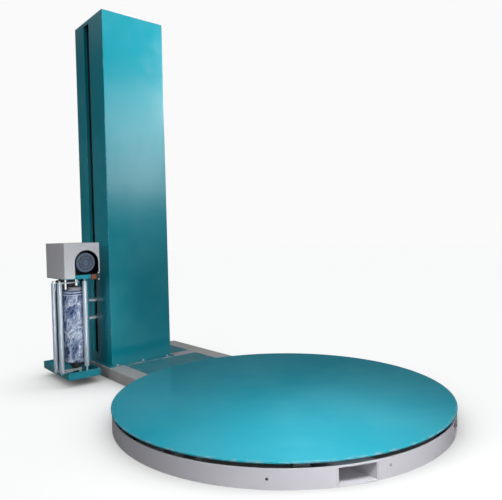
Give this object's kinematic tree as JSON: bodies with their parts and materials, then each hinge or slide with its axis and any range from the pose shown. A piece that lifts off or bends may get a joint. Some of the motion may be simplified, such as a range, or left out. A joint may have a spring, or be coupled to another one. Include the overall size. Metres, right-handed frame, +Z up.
{
  "type": "turntable pallet wrapper",
  "caption": "Stretch-wrapping machine: low round turntable with fork pockets, joined by a floor bridge to a mast whose carriage lifts a film roll, pre-stretch rollers and dancer.",
  "frame": {"origin": "the turntable's axis on the floor, at the centre of the hub plate's underside", "axes": "+Z up along the turntable's axis, +Y from the turntable towards the mast, the film carriage hangs on the mast's -X side"},
  "size_m": [1.8, 2.8458, 2.515],
  "materials": {
    "teal_paint": "gloss",
    "grey_paint": "satin",
    "zinc_steel": "satin",
    "chain_steel": "oiled",
    "motor_grey": "satin",
    "white_plastic": "matte",
    "roller_rubber": "matte",
    "roller_chrome": "polished",
    "black_plastic": "matte",
    "cardboard": "matte",
    "film_blue": "glossy",
    "film_clear": "glossy",
    "orange_plastic": "glossy",
    "display_glass": "glossy",
    "red_plastic": "glossy",
    "green_plastic": "glossy",
    "wheel_plastic": "satin"
  },
  "bodies": {
    "base": {"base_ring": "grey_paint", "fork_pockets": "grey_paint", "base_cross_members": "grey_paint", "center_hub": "grey_paint", "wheel_brackets": "zinc_steel", "side_beams": "grey_paint", "floor_covers": "teal_paint", "mast_base_flange": "teal_paint", "mast_anchor_bolts": "zinc_steel", "mast_shell": "teal_paint", "mast_rear_cover": "teal_paint", "mast_top_cap": "teal_paint", "guide_rails": "zinc_steel", "table_gearmotor": "motor_grey", "table_chain": "chain_steel", "lift_gearmotor": "motor_grey", "idler_bracket": "zinc_steel", "lift_chain": "chain_steel", "cabinet_body": "grey_paint"},
    "turntable": {"turntable_disc": "teal_paint", "table_spindle": "zinc_steel", "table_sprocket": "zinc_steel"},
    "drive_sprocket": {"table_drive_sprocket": "zinc_steel"},
    "support_wheel_left_38": {"support_wheel_left_38": "wheel_plastic"},
    "support_wheel_right_38": {"support_wheel_right_38": "wheel_plastic"},
    "support_wheel_left_68": {"support_wheel_left_68": "wheel_plastic"},
    "support_wheel_right_68": {"support_wheel_right_68": "wheel_plastic"},
    "support_wheel_left_98": {"support_wheel_left_98": "wheel_plastic"},
    "support_wheel_right_98": {"support_wheel_right_98": "wheel_plastic"},
    "support_wheel_left_142": {"support_wheel_left_142": "wheel_plastic"},
    "support_wheel_right_142": {"support_wheel_right_142": "wheel_plastic"},
    "carriage": {"trolley_plate": "zinc_steel", "guide_shoes": "white_plastic", "carriage_arms": "zinc_steel", "carriage_post": "teal_paint", "carriage_tray": "teal_paint", "carriage_top_plate": "teal_paint", "head_cover": "grey_paint", "stretch_motor": "motor_grey", "stretch_gearbox": "motor_grey", "film_web": "film_clear"},
    "lift_drive": {"lift_drive_sprocket": "zinc_steel"},
    "lift_idler": {"lift_idler_sprocket": "zinc_steel"},
    "pinion": {"stretch_pinion": "zinc_steel"},
    "slow_roller": {"slow_stretch_roller": "roller_rubber"},
    "fast_roller": {"fast_stretch_roller": "roller_rubber"},
    "idler": {"idler_roller": "roller_chrome"},
    "film": {"film_mandrel": "black_plastic", "film_core": "cardboard", "film_roll": "film_blue"},
    "dancer": {"dancer_arms": "zinc_steel"},
    "outer_roller": {"outer_dancer_roller": "roller_chrome"},
    "inner_roller": {"inner_dancer_roller": "roller_chrome"},
    "knob": {"tension_knob": "orange_plastic"},
    "door": {"cabinet_door": "grey_paint", "display_panel": "display_glass"},
    "switch": {"main_switch": "black_plastic"},
    "estop": {"estop_button": "red_plastic"},
    "start": {"start_button": "green_plastic"},
    "stop": {"stop_button": "red_plastic"}
  },
  "joints": [
    {"name": "table_turn", "type": "hinge", "parent": "base", "child": "turntable", "pos_m": [0, 0, 0.102], "axis": [0, 0, 1], "continuous": true},
    {"name": "drive_sprocket_spin", "type": "hinge", "parent": "base", "child": "drive_sprocket", "pos_m": [-0.1, 1.45, 0.033], "axis": [0, 0, 1], "continuous": true},
    {"name": "support_wheel_left_38_spin", "type": "hinge", "parent": "base", "child": "support_wheel_left_38", "pos_m": [-0.52023, -0.66587, 0.0657], "axis": [-0.6157, -0.788, 0], "continuous": true},
    {"name": "support_wheel_right_38_spin", "type": "hinge", "parent": "base", "child": "support_wheel_right_38", "pos_m": [0.52023, -0.66587, 0.0657], "axis": [0.6157, -0.788, 0], "continuous": true},
    {"name": "support_wheel_left_68_spin", "type": "hinge", "parent": "base", "child": "support_wheel_left_68", "pos_m": [-0.78347, -0.31654, 0.0657], "axis": [-0.9272, -0.3746, 0], "continuous": true},
    {"name": "support_wheel_right_68_spin", "type": "hinge", "parent": "base", "child": "support_wheel_right_68", "pos_m": [0.78347, -0.31654, 0.0657], "axis": [0.9272, -0.3746, 0], "continuous": true},
    {"name": "support_wheel_left_98_spin", "type": "hinge", "parent": "base", "child": "support_wheel_left_98", "pos_m": [-0.83678, 0.1176, 0.0657], "axis": [-0.9903, 0.1392, 0], "continuous": true},
    {"name": "support_wheel_right_98_spin", "type": "hinge", "parent": "base", "child": "support_wheel_right_98", "pos_m": [0.83678, 0.1176, 0.0657], "axis": [0.9903, 0.1392, 0], "continuous": true},
    {"name": "support_wheel_left_142_spin", "type": "hinge", "parent": "base", "child": "support_wheel_left_142", "pos_m": [-0.52023, 0.66587, 0.0657], "axis": [-0.6157, 0.788, 0], "continuous": true},
    {"name": "support_wheel_right_142_spin", "type": "hinge", "parent": "base", "child": "support_wheel_right_142", "pos_m": [0.52023, 0.66587, 0.0657], "axis": [0.6157, 0.788, 0], "continuous": true},
    {"name": "carriage_lift", "type": "slide", "parent": "base", "child": "carriage", "axis": [0, 0, 1], "range_m": [0, 1.55]},
    {"name": "lift_drive_spin", "type": "hinge", "parent": "base", "child": "lift_drive", "pos_m": [-0.278, 1.551, 2.4], "axis": [1, 0, 0], "continuous": true},
    {"name": "lift_idler_spin", "type": "hinge", "parent": "base", "child": "lift_idler", "pos_m": [-0.278, 1.551, 0.205], "axis": [1, 0, 0], "continuous": true},
    {"name": "slow_roller_spin", "type": "hinge", "parent": "carriage", "child": "slow_roller", "pos_m": [-0.64, 1.518, 0.4], "axis": [0, 0, 1], "continuous": true},
    {"name": "fast_roller_spin", "type": "hinge", "parent": "carriage", "child": "fast_roller", "pos_m": [-0.565, 1.518, 0.4], "axis": [0, 0, 1], "continuous": true},
    {"name": "pinion_spin", "type": "hinge", "parent": "carriage", "child": "pinion", "pos_m": [-0.605, 1.45738, 0.723], "axis": [0, 0, 1], "continuous": true},
    {"name": "idler_spin", "type": "hinge", "parent": "carriage", "child": "idler", "pos_m": [-0.56, 1.29, 0.4], "axis": [0, 0, 1], "continuous": true},
    {"name": "film_spin", "type": "hinge", "parent": "carriage", "child": "film", "pos_m": [-0.585, 1.4, 0.4], "axis": [0, 0, 1], "continuous": true},
    {"name": "dancer_swing", "type": "hinge", "parent": "carriage", "child": "dancer", "pos_m": [-0.6, 1.31, 0.4], "axis": [0, 0, 1], "range_deg": [-20, 15], "stiffness_Nm_per_rad": 20},
    {"name": "outer_roller_spin", "type": "hinge", "parent": "dancer", "child": "outer_roller", "pos_m": [-0.75, 1.338, 0.4], "axis": [0, 0, 1], "continuous": true},
    {"name": "inner_roller_spin", "type": "hinge", "parent": "dancer", "child": "inner_roller", "pos_m": [-0.735, 1.268, 0.4], "axis": [0, 0, 1], "continuous": true},
    {"name": "knob_turn", "type": "hinge", "parent": "carriage", "child": "knob", "pos_m": [-0.524, 1.233, 0.712], "axis": [0, -1, 0], "range_deg": [-150, 150]},
    {"name": "door_hinge", "type": "hinge", "parent": "base", "child": "door", "pos_m": [0.027, 1.907, 1.3], "axis": [0, 0, -1], "range_deg": [0, 120]},
    {"name": "main_switch_turn", "type": "hinge", "parent": "door", "child": "switch", "pos_m": [-0.14, 1.919, 1.16], "axis": [0, 1, 0], "range_deg": [0, 90]},
    {"name": "estop_press", "type": "slide", "parent": "door", "child": "estop", "axis": [0, -1, 0], "range_m": [0, 0.006]},
    {"name": "start_press", "type": "slide", "parent": "door", "child": "start", "axis": [0, -1, 0], "range_m": [0, 0.004], "stiffness_N_per_m": 800},
    {"name": "stop_press", "type": "slide", "parent": "door", "child": "stop", "axis": [0, -1, 0], "range_m": [0, 0.004], "stiffness_N_per_m": 800}
  ],
  "couplings": [
    {"joint": "drive_sprocket_spin", "follows": "table_turn", "ratio": 4},
    {"joint": "support_wheel_left_38_spin", "follows": "table_turn", "ratio": -23.472},
    {"joint": "support_wheel_right_38_spin", "follows": "table_turn", "ratio": -23.472},
    {"joint": "support_wheel_left_68_spin", "follows": "table_turn", "ratio": -23.472},
    {"joint": "support_wheel_right_68_spin", "follows": "table_turn", "ratio": -23.472},
    {"joint": "support_wheel_left_98_spin", "follows": "table_turn", "ratio": -23.472},
    {"joint": "support_wheel_right_98_spin", "follows": "table_turn", "ratio": -23.472},
    {"joint": "support_wheel_left_142_spin", "follows": "table_turn", "ratio": -23.472},
    {"joint": "support_wheel_right_142_spin", "follows": "table_turn", "ratio": -23.472},
    {"joint": "lift_drive_spin", "follows": "carriage_lift", "rad_per_m": -20.482},
    {"joint": "lift_idler_spin", "follows": "carriage_lift", "rad_per_m": -20.482},
    {"joint": "fast_roller_spin", "follows": "slow_roller_spin", "ratio": -1.5},
    {"joint": "pinion_spin", "follows": "slow_roller_spin", "ratio": -1.8}
  ]
}
